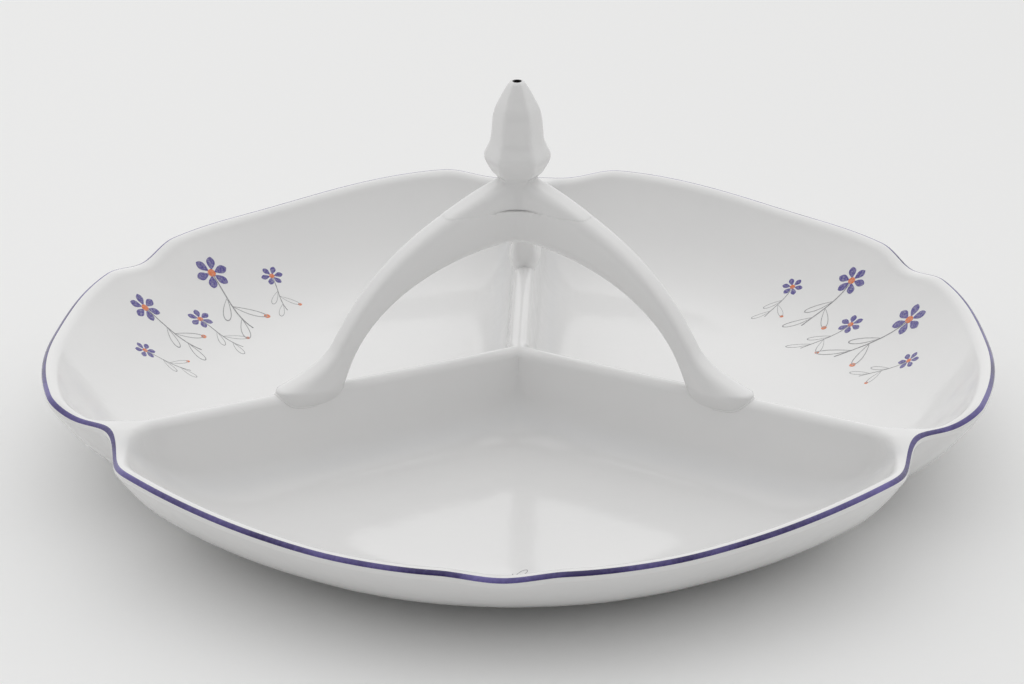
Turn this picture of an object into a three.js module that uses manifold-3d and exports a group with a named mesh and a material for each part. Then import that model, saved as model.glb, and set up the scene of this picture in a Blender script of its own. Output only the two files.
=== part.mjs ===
// Divided serving tray of glazed porcelain: a lobed dish with three compartments, and a handle of three
// arms that stand on the dividers and carry a faceted finial. Millimetres, +Z up. The origin is on the
// tray's axis, on the surface that it stands on. One compartment faces -Y.

import * as THREE from 'three';
import { mergeVertices } from 'three/addons/utils/BufferGeometryUtils.js';
import Module from 'manifold-3d';

const { lerp, clamp, smoothstep, degToRad, radToDeg } = THREE.MathUtils;

// Compartments, each centred between two dividers
const COMPARTMENTS = 3;

// Rim, as the outer face of the enamel line. Angles are in degrees
const RIM_RADIUS = 149.7;
const RIM_HEIGHT = 32;
const SHOULDER_SWELL = 2.6;
const DIP_INSET = 1.7;
const DIP_DEPTH = 2.6;
const DIP_HALF_ANGLE = 7;
const CORNER_SWELL = 0.7;
const CORNER_RISE = 4.2;
const NOTCH_DEPTH = 9.4;
const NOTCH_HALF_ANGLE = 12;
const NOTCH_SAG = 1.6;
const EDGE_RADIUS = 1.2;
const EDGE_WRAP = 40;

// Enamel line over the outer half of the rim's edge
const LINE_THICKNESS = 0.4;
const LINE_TOP_ANGLE = 78;
const LINE_LOW_ANGLE = 30;

// Bowl of the dish
const FOOT_RADIUS = 81;
const FOOT_WIDTH = 5;
const FOOT_HEIGHT = 3.2;
const FOOT_ROUND = 0.8;
const FOOT_COVE = 3;
const FLOOR_THICKNESS = 4.8;
const FLOOR_RADIUS = 97;
const INNER_CURVE = 2.4;
const OUTER_CURVE = 3.35;
const LIP_WIDTH = 3.2;
const LIP_DROP = 1.5;

// Dividers
const DIVIDER_CENTRE_HEIGHT = 33;
const DIVIDER_TOP_RADIUS = 3.2;
const DIVIDER_DRAFT = 8;
const DIVIDER_FILLET = 14;
const VALLEY_SHARPNESS = 3;
const WEB_RADIUS = 14;

// Handle
const CROWN_UNDERSIDE = 70.6;
const ARCH_HALF_SPAN = 61.8;
const CROWN_THICKNESS = 20.5;
const SEAT_CUT = 9;
const CROWN_HALF_WIDTH = 5.6;
const CROWN_FILLET = 12;
const WAIST_THICKNESS = 6.6;
const WAIST_HALF_WIDTH = 3.8;
const WAIST_TURN = 65;
const TAPER_CURVE = 1.4;
const SECTION_SQUARENESS = 3.4;
const TOE_LENGTH = 16;
const FLARE_HEIGHT = 10;
const FLARE_CURVE = 2.5;
const FOOT_LIP = 5.2;
const FOOT_LIP_WALL = 1.1;

// Finial, with heights above its base
const FINIAL_BASE_RADIUS = 7.4;
const SKIRT_REACH = 19.6;
const SKIRT_HEIGHT = 8.6;
const SKIRT_CURVE = 0.8;
const SKIRT_HALF_WIDTH = 5;
const SKIRT_SQUARENESS = 4;
const SKIRT_DRAW = 0.3;
const NECK_HEIGHT = 7.8;
const NECK_RADIUS = 5.6;
const BELL_HEIGHT = 16;
const BELL_RADIUS = 9.4;
const SHOULDER_HEIGHT = 29.2;
const SHOULDER_RADIUS = 6.7;
const FINIAL_HEIGHT = 39.4;
const TIP_RADIUS = 2.2;
const FLANK_TAPER = 0.75;
const TIP_TAPER = 0.4;
const FACET_SHARPNESS = 14;
const FINIAL_WALL = 3;
const VENT_RADIUS = 1.3;

// Joints between the fired pieces
const LUTE_THICKNESS = 0.5;
const GAP = 0.3;

// Steps of the faceted surfaces
const SPAN_STEPS = [3, 4, 4, 8];
const DIVIDER_STEPS = 8;
const WEB_STEPS = 6;
const WEB_REACH = 1.6;
const TOP_STEPS = 4;
const WALL_STEPS = 4;
const FILLET_STEPS = 3;
const BISECTIONS = 40;
const CREST_MARGIN = 1e-9;
const POINTS_PER_MM = 1e4;
const FLOOR_SHARES = [0.4, 0.7];
const EDGE_STEPS = 3;
const OUTER_STEPS = 6;
const ARM_STEPS = 20;
const ARM_SIDES = 8;
const FINIAL_SIDES = 36;
const FINIAL_STEPS = 12;
const LINE_STEPS = 2;
const RIDGE_STEPS = 6;

const PORCELAIN = { color: 0xf1f0ee, roughness: 0.12, metalness: 0 };
const ENAMEL = { color: 0x3d2f8f, roughness: 0.2, metalness: 0 };

// Derived sizes
const HALF_SECTOR = 180 / COMPARTMENTS;
const SIN_HALF = Math.sin(degToRad(HALF_SECTOR));
const COS_HALF = Math.cos(degToRad(HALF_SECTOR));
const CORNER_ANGLE = HALF_SECTOR - NOTCH_HALF_ANGLE;
const LOBE_ANGLE = (DIP_HALF_ANGLE + CORNER_ANGLE) / 2;
const FLOOR_TOP = FOOT_HEIGHT + FLOOR_THICKNESS;
const LINE_BUILD = GAP + LINE_THICKNESS;
const CREST_INSET = LINE_BUILD + EDGE_RADIUS;
const DRAFT = degToRad(DIVIDER_DRAFT);
const SADDLE_GAP = GAP + LUTE_THICKNESS + GAP;
const SADDLE_HALF_WIDTH = DIVIDER_TOP_RADIUS + SADDLE_GAP + FOOT_LIP_WALL;
const SEAT_HEIGHT = CROWN_UNDERSIDE + CROWN_THICKNESS - SEAT_CUT;
const FINIAL_BASE = SEAT_HEIGHT + LUTE_THICKNESS;

// Value between stations [place, value], with level tangents, so that each station is a crest or a trough
function eased(stations, place) {
  const next = stations.findIndex(([end]) => place <= end);
  if (next < 1) return stations.at(next)[1];
  const [start, from] = stations[next - 1];
  const [end, to] = stations[next];
  return lerp(from, to, smoothstep(place, start, end));
}

const RIM_RADII = [
  [0, RIM_RADIUS + SHOULDER_SWELL - DIP_INSET],
  [DIP_HALF_ANGLE, RIM_RADIUS + SHOULDER_SWELL],
  [LOBE_ANGLE, RIM_RADIUS],
  [CORNER_ANGLE, RIM_RADIUS + CORNER_SWELL],
  [HALF_SECTOR, RIM_RADIUS - NOTCH_DEPTH],
];
const RIM_HEIGHTS = [
  [0, RIM_HEIGHT - DIP_DEPTH],
  [DIP_HALF_ANGLE, RIM_HEIGHT],
  [(DIP_HALF_ANGLE + LOBE_ANGLE) / 2, RIM_HEIGHT],
  [CORNER_ANGLE, RIM_HEIGHT + CORNER_RISE],
  [HALF_SECTOR - NOTCH_HALF_ANGLE / 2, RIM_HEIGHT + CORNER_RISE - NOTCH_SAG],
  [HALF_SECTOR, RIM_HEIGHT + CORNER_RISE],
];

// Rim by the angle from its compartment's middle, and the crest of the porcelain's edge under the line
const rimRadius = (angle) => eased(RIM_RADII, Math.abs(angle));
const rimHeight = (angle) => eased(RIM_HEIGHTS, Math.abs(angle));
const crestRadius = (angle) => rimRadius(angle) - CREST_INSET;
const crestHeight = (angle) => rimHeight(angle) - LINE_BUILD;

const DIVIDER_LENGTH = crestRadius(HALF_SECTOR);
const dividerTop = (along) =>
  lerp(DIVIDER_CENTRE_HEIGHT, crestHeight(HALF_SECTOR), clamp(along / DIVIDER_LENGTH, 0, 1));

// Angles round half a compartment, from its middle to the divider
function halfAngles() {
  const ends = [0, DIP_HALF_ANGLE, LOBE_ANGLE, CORNER_ANGLE, HALF_SECTOR];
  const angles = [0];
  SPAN_STEPS.forEach((steps, span) => {
    for (let i = 1; i <= steps; i += 1) angles.push(lerp(ends[span], ends[span + 1], i / steps));
  });
  return angles;
}
const HALF_ANGLES = halfAngles();
const SECTOR_ANGLES = [...HALF_ANGLES.slice(1).reverse().map((angle) => -angle), ...HALF_ANGLES];

// Direction of a compartment's middle, and a point turned from a compartment's own frame, whose first
// axis runs out through its middle
const middleTurn = (sector) => degToRad((360 * sector) / COMPARTMENTS - 90);
function placed([out, across, z], turn) {
  const [c, s] = [Math.cos(turn), Math.sin(turn)];
  return [out * c - across * s, out * s + across * c, z];
}

// Triangle soups. Rows run from one edge of a surface to the other, and their points go round it
function stripFaces(first, second, closed) {
  const faces = [];
  const count = closed ? first.length : first.length - 1;
  for (let j = 0; j < count; j += 1) {
    const k = (j + 1) % first.length;
    faces.push([first[j], second[j], second[k]], [first[j], second[k], first[k]]);
  }
  return faces;
}
function gridFaces(rows, closed) {
  return rows.slice(1).flatMap((row, i) => stripFaces(rows[i], row, closed));
}
function fanFaces(ring, centre) {
  return ring.map((point, j) => [point, centre, ring[(j + 1) % ring.length]]);
}
function turnedOver(faces) {
  return faces.map(([a, b, c]) => [a, c, b]);
}
function middleOf(ring) {
  return [0, 1, 2].map((axis) => ring.reduce((sum, point) => sum + point[axis], 0) / ring.length);
}
// Closed body through rings, capped at both ends
function lofted(rings) {
  const [first, last] = [rings[0], rings.at(-1)];
  return [
    ...turnedOver(fanFaces(first, middleOf(first))),
    ...gridFaces(rings, true),
    ...fanFaces(last, middleOf(last)),
  ];
}
// Closed body whose rings come back to the first, with a hole through it
function ringed(rings) {
  return gridFaces([...rings, rings[0]], true);
}

// Neighbouring surfaces reach a shared point by different sums, so points are rounded before they join
const rounded = (value) => Math.round(value * POINTS_PER_MM) / POINTS_PER_MM;
function geometryOf(faces) {
  const soup = new THREE.BufferGeometry();
  soup.setAttribute('position', new THREE.Float32BufferAttribute(faces.flat(2).map(rounded), 3));
  return mergeVertices(soup);
}

// Joins and cuts
const wasm = await Module();
wasm.setup();

function solidOf(faces) {
  const geometry = geometryOf(faces);
  return new wasm.Manifold(
    new wasm.Mesh({
      numProp: 3,
      vertProperties: geometry.attributes.position.array,
      triVerts: new Uint32Array(geometry.index.array),
    }),
  );
}
function geometryOfSolid(solid) {
  const mesh = solid.getMesh();
  const geometry = new THREE.BufferGeometry();
  geometry.setAttribute('position', new THREE.BufferAttribute(mesh.vertProperties, 3));
  geometry.setIndex(new THREE.BufferAttribute(mesh.triVerts, 1));
  return geometry;
}

// Depth below a divider's crest at a distance from its centre line: a round top, a drafted wall and a
// fillet that runs out on the floor
function dividerSection(rise) {
  const wallStart = DIVIDER_TOP_RADIUS * Math.cos(DRAFT);
  const wallDrop = DIVIDER_TOP_RADIUS * (1 - Math.sin(DRAFT));
  const footing = wallStart + (rise - wallDrop) * Math.tan(DRAFT);
  const end = footing + DIVIDER_FILLET * Math.tan((Math.PI / 2 - DRAFT) / 2);
  const filletStart = end - DIVIDER_FILLET * Math.cos(DRAFT);
  return { wallStart, wallDrop, filletStart, end };
}
function dividerDrop(distance, rise) {
  const { wallStart, wallDrop, filletStart, end } = dividerSection(rise);
  if (distance <= wallStart) return DIVIDER_TOP_RADIUS - Math.sqrt(DIVIDER_TOP_RADIUS ** 2 - distance ** 2);
  if (distance <= filletStart) return wallDrop + (distance - wallStart) / Math.tan(DRAFT);
  if (distance < end) return rise - DIVIDER_FILLET + Math.sqrt(DIVIDER_FILLET ** 2 - (end - distance) ** 2);
  return rise;
}

// Depth below the rim's crest: a small everted lip, then the bowl's wall down to the flat floor
function bowlDrop(radius, angle, rise) {
  const crest = crestRadius(angle);
  const inset = Math.max(0, crest - radius);
  if (inset < LIP_WIDTH) return LIP_DROP * (1 - Math.cos(((inset / LIP_WIDTH) * Math.PI) / 2));
  const share = clamp((radius - FLOOR_RADIUS) / (crest - LIP_WIDTH - FLOOR_RADIUS), 0, 1);
  return rise - (rise - LIP_DROP) * share ** INNER_CURVE;
}

// Distance from the crests of a divider and the rim, which a level web joins round a fillet in plan
function webDistance(distance, inset) {
  if (distance > WEB_RADIUS || inset > WEB_RADIUS) return Math.min(distance, inset);
  return Math.max(0, WEB_RADIUS - Math.hypot(WEB_RADIUS - distance, WEB_RADIUS - inset));
}

// Height of the dish's upper face in a compartment's frame. The bowl and the two dividers meet in rounded
// valleys, and the nearer of their crests sets the height from which each place comes down
function basinHeight(out, across) {
  const angle = radToDeg(Math.atan2(across, out));
  const bowlRise = crestHeight(angle) - FLOOR_TOP;
  const radius = Math.hypot(out, across);
  const inset = Math.max(0, crestRadius(angle) - radius);
  const bowl = bowlDrop(radius, angle, bowlRise);
  const walls = [{ rise: bowlRise, drop: bowl, webbed: bowl }];
  for (const side of [-1, 1]) {
    const distance = Math.max(0, out * SIN_HALF - side * across * COS_HALF);
    const rise = dividerTop(out * COS_HALF + side * across * SIN_HALF) - FLOOR_TOP;
    const webbed = dividerDrop(webDistance(distance, inset), rise);
    walls.push({ rise, drop: dividerDrop(distance, rise), webbed });
  }
  const weights = walls.map(({ rise, drop }) => (rise - drop) / (drop + CREST_MARGIN));
  const total = weights.reduce((sum, weight) => sum + weight, 0);
  if (total === 0) return FLOOR_TOP;
  const rise = walls.reduce((sum, wall, i) => sum + wall.rise * weights[i], 0) / total;
  const depths = walls.map((wall) => wall.webbed / wall.rise);
  const powers = depths.reduce((sum, depth) => sum + depth ** -VALLEY_SHARPNESS, 1 - depths.length);
  return FLOOR_TOP + rise * (1 - powers ** (-1 / VALLEY_SHARPNESS));
}

// Distances from a divider's centre line to the rings of a compartment, down to its floor
const CENTRE_RISE = DIVIDER_CENTRE_HEIGHT - FLOOR_TOP;
function ringDistances() {
  const { wallStart, filletStart, end } = dividerSection(CENTRE_RISE);
  const distances = [];
  for (let i = 0; i < TOP_STEPS; i += 1) {
    distances.push(DIVIDER_TOP_RADIUS * Math.sin(lerp(0, Math.PI / 2 - DRAFT, i / TOP_STEPS)));
  }
  for (let i = 0; i < WALL_STEPS; i += 1) distances.push(lerp(wallStart, filletStart, i / WALL_STEPS));
  for (let i = 0; i <= FILLET_STEPS; i += 1) {
    distances.push(end - DIVIDER_FILLET * Math.cos(lerp(DRAFT, Math.PI / 2, i / FILLET_STEPS)));
  }
  return distances;
}
// Inset from the rim's crest at which the bowl has come down by a share of its depth
function rimInset(depth, angle) {
  const crest = crestRadius(angle);
  const rise = crestHeight(angle) - FLOOR_TOP;
  const drop = depth * rise;
  if (drop < LIP_DROP) return (LIP_WIDTH * Math.acos(1 - drop / LIP_DROP) * 2) / Math.PI;
  const share = ((rise - drop) / (rise - LIP_DROP)) ** (1 / INNER_CURVE);
  return crest - lerp(FLOOR_RADIUS, crest - LIP_WIDTH, share);
}
// Angle at which a ring's stretch inside the rim meets its stretch beside the divider
function ringCorner(distance, depth) {
  let [inside, outside] = [0, HALF_SECTOR];
  for (let i = 0; i < BISECTIONS; i += 1) {
    const angle = (inside + outside) / 2;
    const radius = crestRadius(angle) - rimInset(depth, angle);
    if (radius * Math.sin(degToRad(HALF_SECTOR - angle)) > distance) inside = angle;
    else outside = angle;
  }
  return outside;
}
// Shares of a divider's length, closer together beside the web at its end
function dividerShares() {
  const webStart = 1 - (WEB_REACH * WEB_RADIUS) / DIVIDER_LENGTH;
  const shares = [];
  for (let i = 0; i < DIVIDER_STEPS; i += 1) shares.push(lerp(0, webStart, i / DIVIDER_STEPS));
  for (let i = 0; i < WEB_STEPS; i += 1) shares.push(lerp(webStart, 1, i / WEB_STEPS));
  return shares;
}
const DIVIDER_SHARES = dividerShares();

// One ring round a compartment: out beside a divider, along the rim and back beside the other divider
function basinRing(distance) {
  const depth = dividerDrop(distance, CENTRE_RISE) / CENTRE_RISE;
  const corner = ringCorner(distance, depth);
  const insideRim = (angle) => {
    const radius = crestRadius(angle) - rimInset(depth, angle);
    return [radius * Math.cos(degToRad(angle)), radius * Math.sin(degToRad(angle))];
  };
  const [cornerOut, cornerAcross] = insideRim(corner);
  const besideDivider = (side, share) => [
    lerp(distance / SIN_HALF, cornerOut, share),
    side * cornerAcross * share,
  ];
  const ring = [
    ...DIVIDER_SHARES.map((share) => besideDivider(-1, share)),
    ...SECTOR_ANGLES.map((angle) => insideRim((angle * corner) / HALF_SECTOR)),
    ...DIVIDER_SHARES.slice(1).reverse().map((share) => besideDivider(1, share)),
  ];
  return ring.map(([out, across]) => [out, across, basinHeight(out, across)]);
}
// Upper face of one compartment
const BASIN_MIDDLE = [(FLOOR_RADIUS + DIVIDER_LENGTH / 2) / 2, 0, FLOOR_TOP];
function basinFaces(sector) {
  const rings = ringDistances().map(basinRing);
  const floorEdge = rings.at(-1);
  for (const share of FLOOR_SHARES) {
    rings.push(floorEdge.map((point) => point.map((value, axis) => lerp(value, BASIN_MIDDLE[axis], share))));
  }
  const faces = [...gridFaces(rings, true), ...fanFaces(rings.at(-1), BASIN_MIDDLE)];
  return turnedOver(faces).map((face) => face.map((point) => placed(point, middleTurn(sector))));
}

// Underside of the dish: over the rim's edge, down the outer wall to the foot ring and the flat base
function underProfile(angle) {
  const [edgeRadius, edgeHeight] = [crestRadius(angle), crestHeight(angle) - EDGE_RADIUS];
  const profile = [];
  for (let i = 0; i <= EDGE_STEPS; i += 1) {
    const turn = degToRad(lerp(90, -EDGE_WRAP, i / EDGE_STEPS));
    profile.push([edgeRadius + EDGE_RADIUS * Math.cos(turn), edgeHeight + EDGE_RADIUS * Math.sin(turn)]);
  }
  const [wallRadius, wallHeight] = profile.at(-1);
  const footOuter = FOOT_RADIUS + FOOT_WIDTH / 2;
  const footInner = FOOT_RADIUS - FOOT_WIDTH / 2;
  for (let i = 1; i <= OUTER_STEPS; i += 1) {
    const share = 1 - i / OUTER_STEPS;
    profile.push([
      lerp(footOuter + FOOT_COVE, wallRadius, share),
      lerp(FOOT_HEIGHT, wallHeight, share ** OUTER_CURVE),
    ]);
  }
  return [
    ...profile,
    [footOuter, FOOT_ROUND],
    [footOuter - FOOT_ROUND, 0],
    [footInner + FOOT_ROUND, 0],
    [footInner, FOOT_ROUND],
    [footInner - FOOT_COVE, FOOT_HEIGHT],
  ];
}
function roundRim(pointsAt) {
  const columns = [];
  for (let sector = 0; sector < COMPARTMENTS; sector += 1) {
    for (const angle of SECTOR_ANGLES.slice(1)) {
      const turn = middleTurn(sector) + degToRad(angle);
      columns.push(pointsAt(angle).map(([radius, z]) => placed([radius, 0, z], turn)));
    }
  }
  return columns[0].map((_, i) => columns.map((column) => column[i]));
}
function dishGeometry() {
  const under = roundRim(underProfile);
  const faces = [...gridFaces(under, true), ...fanFaces(under.at(-1), [0, 0, FOOT_HEIGHT])];
  for (let sector = 0; sector < COMPARTMENTS; sector += 1) faces.push(...basinFaces(sector));
  return geometryOf(faces);
}

// Enamel line: a thin band round the outer half of the rim's edge
function lineProfile(angle) {
  const [edgeRadius, edgeHeight] = [crestRadius(angle), crestHeight(angle) - EDGE_RADIUS];
  const band = (radius, share) => {
    const turn = degToRad(lerp(LINE_TOP_ANGLE, LINE_LOW_ANGLE, share));
    return [edgeRadius + radius * Math.cos(turn), edgeHeight + radius * Math.sin(turn)];
  };
  const points = [];
  for (let i = 0; i <= LINE_STEPS; i += 1) points.push(band(EDGE_RADIUS + LINE_BUILD, i / LINE_STEPS));
  for (let i = LINE_STEPS; i >= 0; i -= 1) points.push(band(EDGE_RADIUS + GAP, i / LINE_STEPS));
  return points;
}

// Section of a handle's arm in its own upright plane. The underside is a quarter of an ellipse, the arm
// tapers from the crown to a waist, and its foot spreads along and across the divider
const FOOT_TOP = dividerTop(ARCH_HALF_SPAN + TOE_LENGTH / 2);
const FOOT_BOTTOM = FOOT_TOP - FOOT_LIP;
function armSection(share) {
  const turn = (share * Math.PI) / 2;
  const arch = CROWN_UNDERSIDE - FOOT_BOTTOM;
  const lower = new THREE.Vector2(ARCH_HALF_SPAN * Math.sin(turn), FOOT_BOTTOM + arch * Math.cos(turn));
  const normal = new THREE.Vector2(arch * Math.sin(turn), ARCH_HALF_SPAN * Math.cos(turn)).normalize();
  const taper = Math.max(0, 1 - radToDeg(turn) / WAIST_TURN) ** TAPER_CURVE;
  const flare = clamp(1 - (lower.y - FOOT_TOP) / FLARE_HEIGHT, 0, 1) ** FLARE_CURVE;
  const upper = lower.clone().addScaledVector(normal, lerp(WAIST_THICKNESS, CROWN_THICKNESS, taper));
  upper.x += TOE_LENGTH * flare;
  const halfWidth = lerp(lerp(WAIST_HALF_WIDTH, CROWN_HALF_WIDTH, taper), SADDLE_HALF_WIDTH, flare);
  const middle = lower.clone().add(upper).divideScalar(2);
  const half = upper.sub(lower).divideScalar(2);
  return { middle, half, halfWidth };
}
// How far the section reaches sideways, along the arm and across it. Near the crown it turns towards the
// next arm, so that the two flow into each other round a fillet
function sideReach(radius, halfWidth) {
  if (radius >= ((halfWidth + CROWN_FILLET) * COS_HALF) / SIN_HALF) return [0, halfWidth];
  const centre = (halfWidth + CROWN_FILLET) / SIN_HALF;
  const [along, across] = [radius - centre * COS_HALF, -centre * SIN_HALF];
  const reach = 1 - CROWN_FILLET / Math.hypot(along, across);
  return [-along * reach, -across * reach];
}
// Half a section, from the top of the arm round one side to its underside, with its faces flattened
const squared = (value) => Math.sign(value) * Math.abs(value) ** (2 / SECTION_SQUARENESS);
function halfSection(share, turn, side) {
  const { middle, half, halfWidth } = armSection(share);
  const [along, across] = sideReach(middle.x, halfWidth);
  const points = [];
  for (let i = 0; i <= ARM_SIDES; i += 1) {
    const angle = (Math.PI * i) / ARM_SIDES;
    const [up, out] = [squared(Math.cos(angle)), i === ARM_SIDES ? 0 : squared(Math.sin(angle))];
    const reach = middle.x + half.x * up + along * out;
    points.push(placed([reach, side * across * out, middle.y + half.y * up], turn));
  }
  return points;
}
const armTurn = (arm) => middleTurn(arm) + degToRad(HALF_SECTOR);
function tripodFaces() {
  const faces = [];
  for (let arm = 0; arm < COMPARTMENTS; arm += 1) {
    const [turn, next] = [armTurn(arm), armTurn(arm + 1)];
    const rows = [];
    for (let i = ARM_STEPS; i >= 0; i -= 1) rows.push(halfSection(i / ARM_STEPS, turn, 1));
    for (let i = 1; i <= ARM_STEPS; i += 1) rows.push(halfSection(i / ARM_STEPS, next, -1));
    faces.push(...gridFaces(rows, false));
    const foot = [...halfSection(1, turn, -1), ...halfSection(1, turn, 1).slice(1, -1).reverse()];
    faces.push(...fanFaces(foot, middleOf(foot)));
  }
  return turnedOver(faces);
}

// Body of a divider's crest under a handle's foot, grown by a margin
function ridgeFaces(arm, margin) {
  const radius = DIVIDER_TOP_RADIUS + margin;
  const depth = 2 * FOOT_LIP + radius;
  const outline = [];
  for (let i = 0; i <= RIDGE_STEPS; i += 1) {
    const turn = lerp(-DRAFT + Math.PI / 2, DRAFT - Math.PI / 2, i / RIDGE_STEPS);
    outline.push([-radius * Math.sin(turn), radius * Math.cos(turn) - DIVIDER_TOP_RADIUS]);
  }
  const spread = Math.tan(DRAFT) * depth;
  const [first, last] = [outline[0], outline.at(-1)];
  outline.push([last[0] + spread, last[1] - depth]);
  outline.unshift([first[0] - spread, first[1] - depth]);
  const ends = [ARCH_HALF_SPAN - TOE_LENGTH, ARCH_HALF_SPAN + WAIST_THICKNESS + 2 * TOE_LENGTH];
  return lofted(
    ends.map((along) =>
      outline.map(([across, z]) => placed([along, across, dividerTop(along) + z], armTurn(arm))),
    ),
  );
}
function seatCutFaces() {
  const reach = ARCH_HALF_SPAN;
  const corners = [[-reach, -reach], [reach, -reach], [reach, reach], [-reach, reach]];
  const top = CROWN_UNDERSIDE + 2 * CROWN_THICKNESS;
  return lofted([top, SEAT_HEIGHT].map((z) => corners.map(([x, y]) => [x, y, z])));
}
const tripod = solidOf(tripodFaces());
function handleGeometry() {
  let handle = tripod.subtract(solidOf(seatCutFaces()));
  for (let arm = 0; arm < COMPARTMENTS; arm += 1) {
    handle = handle.subtract(solidOf(ridgeFaces(arm, SADDLE_GAP)));
  }
  return geometryOfSolid(handle);
}
// Slip saddle between a foot of the handle and the divider that it stands on
function footLuteGeometry(arm) {
  const outside = solidOf(ridgeFaces(arm, GAP + LUTE_THICKNESS));
  return geometryOfSolid(tripod.intersect(outside.subtract(solidOf(ridgeFaces(arm, GAP)))));
}

// Finial: a hollow bud with facets towards the arms and the compartments. Its skirt has a blunt tongue over
// each arm, which carries the arm's top on up to the neck
const FINIAL_PROFILE = new THREE.SplineCurve([
  new THREE.Vector2(FINIAL_BASE_RADIUS, 0),
  new THREE.Vector2((FINIAL_BASE_RADIUS + NECK_RADIUS) / 2, NECK_HEIGHT / 2),
  new THREE.Vector2(NECK_RADIUS, NECK_HEIGHT),
  new THREE.Vector2((NECK_RADIUS + BELL_RADIUS) / 2, (NECK_HEIGHT * 2 + BELL_HEIGHT) / 3),
  new THREE.Vector2(BELL_RADIUS, BELL_HEIGHT),
  new THREE.Vector2(lerp(BELL_RADIUS, SHOULDER_RADIUS, FLANK_TAPER), (BELL_HEIGHT + SHOULDER_HEIGHT) / 2),
  new THREE.Vector2(SHOULDER_RADIUS, SHOULDER_HEIGHT),
  new THREE.Vector2(lerp(SHOULDER_RADIUS, TIP_RADIUS, TIP_TAPER), (SHOULDER_HEIGHT + FINIAL_HEIGHT) / 2),
  new THREE.Vector2(TIP_RADIUS, FINIAL_HEIGHT),
]);
function facetRadius(apothem, angle) {
  let sum = 0;
  for (let face = 0; face < 2 * COMPARTMENTS; face += 1) {
    const toFace = Math.cos(angle - (face * Math.PI) / COMPARTMENTS);
    sum += Math.max(0, toFace) ** FACET_SHARPNESS;
  }
  return apothem * sum ** (-1 / FACET_SHARPNESS);
}
function tongueRadius(radius, height, angle) {
  const rise = clamp(height / SKIRT_HEIGHT, 0, 1);
  const tip = radius * (1 - SKIRT_DRAW * rise) + SKIRT_REACH * (1 - rise) ** SKIRT_CURVE;
  const halfWidth = SKIRT_HALF_WIDTH * (1 - rise ** 3 / 2);
  const sector = (2 * Math.PI) / COMPARTMENTS;
  const toArm = Math.abs(((angle / sector) % 1) - 1 / 2) * sector;
  const [along, across] = [Math.cos(toArm) / tip, Math.sin(toArm) / halfWidth];
  return (along ** SKIRT_SQUARENESS + across ** SKIRT_SQUARENESS) ** (-1 / SKIRT_SQUARENESS);
}
function finialRing(radius, height) {
  const ring = [];
  for (let j = 0; j < FINIAL_SIDES; j += 1) {
    const angle = (2 * Math.PI * j) / FINIAL_SIDES;
    const reach = Math.max(facetRadius(radius, angle), tongueRadius(radius, height, angle));
    ring.push(placed([reach, 0, FINIAL_BASE + height], angle + middleTurn(0)));
  }
  return ring;
}
function roundRing(radius, z) {
  const ring = [];
  for (let j = 0; j < FINIAL_SIDES; j += 1) {
    ring.push(placed([radius, 0, z], (2 * Math.PI * j) / FINIAL_SIDES + middleTurn(0)));
  }
  return ring;
}
const boreRadius = (apothem) => Math.max(VENT_RADIUS, apothem - FINIAL_WALL);
function finialGeometry() {
  const stations = FINIAL_PROFILE.getPoints(FINIAL_STEPS);
  const outside = stations.map(({ x, y }) => finialRing(x, y));
  const inside = stations.map(({ x, y }) => roundRing(boreRadius(x), FINIAL_BASE + y));
  return geometryOf(turnedOver(ringed([...outside, ...inside.reverse()])));
}
function finialLuteGeometry() {
  const bore = boreRadius(FINIAL_BASE_RADIUS);
  const rings = [
    finialRing(FINIAL_BASE_RADIUS, -LUTE_THICKNESS),
    finialRing(FINIAL_BASE_RADIUS, 0),
    roundRing(bore, FINIAL_BASE),
    roundRing(bore, SEAT_HEIGHT),
  ];
  return geometryOf(turnedOver(ringed(rings)));
}

const tray = new THREE.Group();
function addPiece(name, geometry, finish) {
  geometry.computeVertexNormals();
  const piece = new THREE.Mesh(geometry, new THREE.MeshStandardMaterial(finish));
  piece.name = name;
  tray.add(piece);
}

addPiece('dish', dishGeometry(), PORCELAIN);
addPiece('rim_line', geometryOf(ringed(roundRim(lineProfile))), ENAMEL);
addPiece('handle', handleGeometry(), PORCELAIN);
for (let arm = 0; arm < COMPARTMENTS; arm += 1) {
  addPiece(`foot_lute_${arm + 1}`, footLuteGeometry(arm), PORCELAIN);
}
addPiece('finial_lute', finialLuteGeometry(), PORCELAIN);
addPiece('finial', finialGeometry(), PORCELAIN);

export default tray;
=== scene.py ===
# %% [markdown]
# # A divided serving tray in glazed porcelain
# The tray is a shallow lobed dish with three compartments. Three dividers run from the middle to the rim, and
# a handle with three arms stands on them and carries a faceted finial. A violet-blue enamel line follows the
# rim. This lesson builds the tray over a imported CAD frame, so each piece lands where its solid already is.

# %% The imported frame
import math

import bpy
import numpy as np
from mathutils import Matrix, Vector


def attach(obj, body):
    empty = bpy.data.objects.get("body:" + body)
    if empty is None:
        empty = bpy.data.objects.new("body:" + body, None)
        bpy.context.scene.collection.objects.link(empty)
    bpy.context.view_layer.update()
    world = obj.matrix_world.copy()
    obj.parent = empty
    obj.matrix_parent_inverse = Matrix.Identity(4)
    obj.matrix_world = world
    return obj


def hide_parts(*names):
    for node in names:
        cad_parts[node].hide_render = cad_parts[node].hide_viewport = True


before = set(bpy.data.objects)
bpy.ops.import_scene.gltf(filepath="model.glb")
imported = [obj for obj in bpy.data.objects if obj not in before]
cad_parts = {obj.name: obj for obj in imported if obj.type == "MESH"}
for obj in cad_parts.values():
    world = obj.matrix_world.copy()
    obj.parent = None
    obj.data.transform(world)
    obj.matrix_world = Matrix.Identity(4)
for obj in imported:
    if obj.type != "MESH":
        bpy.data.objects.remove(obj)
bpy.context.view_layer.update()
print("CAD nodes:", sorted(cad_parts))

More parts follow.
